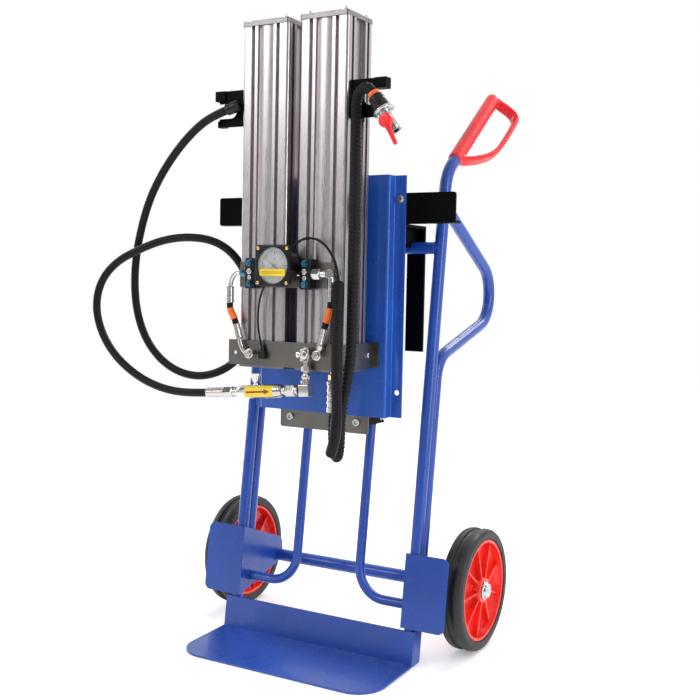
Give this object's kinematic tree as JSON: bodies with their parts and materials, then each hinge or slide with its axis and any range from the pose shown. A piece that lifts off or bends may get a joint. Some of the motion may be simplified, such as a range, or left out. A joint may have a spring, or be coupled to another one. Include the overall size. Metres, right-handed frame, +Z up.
{
  "type": "wheeled sprayer cart",
  "caption": "Two-wheeled tubular hand truck carrying upright extruded cylinders on a blue panel, with a pressure gauge, throttle and ball valves, hoses and D-shaped grips.",
  "frame": {"origin": "middle of the underside of the toe plate, on the floor", "axes": "+X to the cart's right seen from the front, -Y towards the front where the toe plate points, +Z up"},
  "size_m": [0.8284, 0.6181, 1.2769],
  "materials": {
    "frame_steel": "semi-gloss",
    "hook_black": "satin",
    "axle_steel": "satin",
    "grip_red": "satin",
    "rim_red": "semi-gloss",
    "tyre_black": "matte",
    "bush_plastic": "satin",
    "zinc": "bright zinc",
    "panel_blue": "semi-gloss",
    "stainless": "brushed",
    "aluminium": "anodised satin",
    "hose_black": "matte",
    "fitting_steel": "bright",
    "black_plastic": "satin",
    "dial_white": "matte",
    "clear_lens": "gloss",
    "needle_black": "matte",
    "lever_red": "satin",
    "brass": "bright",
    "blue_zinc": "blue zinc"
  },
  "bodies": {
    "cart": {"left_upright": "frame_steel", "right_upright": "frame_steel", "left_bow": "frame_steel", "right_bow": "frame_steel", "upper_crossbar": "frame_steel", "inner_tubes": "frame_steel", "axle_tube": "frame_steel", "left_gusset": "frame_steel", "right_gusset": "frame_steel", "toe_plate": "frame_steel", "hook_bar": "hook_black", "hooks": "hook_black", "left_hose_bracket": "hook_black", "right_hose_bracket": "hook_black", "tube_lugs": "hook_black", "stub_axles": "axle_steel", "left_grip": "grip_red", "right_grip": "grip_red", "hub_caps": "zinc", "panel_bolts": "zinc", "bracket_bolts": "zinc", "tie_rods": "zinc", "back_panel": "panel_blue", "lower_bracket": "stainless", "lower_strap": "stainless", "gauge_plate": "stainless", "left_barrel": "aluminium", "right_barrel": "aluminium", "top_caps": "aluminium", "bottom_caps": "aluminium", "standoff_blocks": "aluminium", "supply_hose": "hose_black", "valve_hose": "hose_black", "cable_conduit": "hose_black", "gauge_cable": "hose_black", "left_gauge_hose": "hose_black", "right_gauge_hose": "hose_black", "gauge_hose_fittings": "fitting_steel", "throttle_fittings": "fitting_steel", "throttle_body": "fitting_steel", "hose_ferrules": "fitting_steel", "valve_body": "fitting_steel", "gauge_body": "black_plastic", "pipe_clamps": "black_plastic", "gauge_dial": "dial_white", "gauge_lens": "clear_lens", "clamp_bolts": "blue_zinc"},
    "left_wheel": {"left_tyre": "tyre_black", "left_rim": "rim_red", "left_bush": "bush_plastic"},
    "right_wheel": {"right_tyre": "tyre_black", "right_rim": "rim_red", "right_bush": "bush_plastic"},
    "lever": {"valve_lever": "lever_red", "valve_stem": "brass", "valve_ball": "brass"},
    "needle": {"gauge_needle": "needle_black"},
    "knob": {"throttle_knob": "fitting_steel"},
    "left_piston_body": {"left_piston": "aluminium"},
    "right_piston_body": {"right_piston": "aluminium"}
  },
  "joints": [
    {"name": "left_wheel_spin", "type": "hinge", "parent": "cart", "child": "left_wheel", "pos_m": [-0.291, 0.247, 0.125], "axis": [1, 0, 0], "continuous": true},
    {"name": "right_wheel_spin", "type": "hinge", "parent": "cart", "child": "right_wheel", "pos_m": [0.291, 0.247, 0.125], "axis": [1, 0, 0], "continuous": true},
    {"name": "valve_lever_turn", "type": "hinge", "parent": "cart", "child": "lever", "pos_m": [0.22229, 0.00307, 1.05282], "axis": [0, -0.9992, 0.0396], "range_deg": [0, 90]},
    {"name": "gauge_needle_turn", "type": "hinge", "parent": "cart", "child": "needle", "pos_m": [-0.0115, -0.0343, 0.79159], "axis": [0, -0.9992, 0.0396], "range_deg": [-191, 79], "stiffness_Nm_per_rad": 0.001},
    {"name": "throttle_knob_turn", "type": "hinge", "parent": "cart", "child": "knob", "pos_m": [-0.06729, -0.01637, 0.56234], "axis": [-0.0872, 0.0395, 0.9954], "range_deg": [0, 300]},
    {"name": "left_piston_slide", "type": "slide", "parent": "cart", "child": "left_piston_body", "axis": [0, 0.0396, 0.9992], "range_m": [0, 0.61]},
    {"name": "right_piston_slide", "type": "slide", "parent": "cart", "child": "right_piston_body", "axis": [0, 0.0396, 0.9992], "range_m": [0, 0.61]}
  ]
}
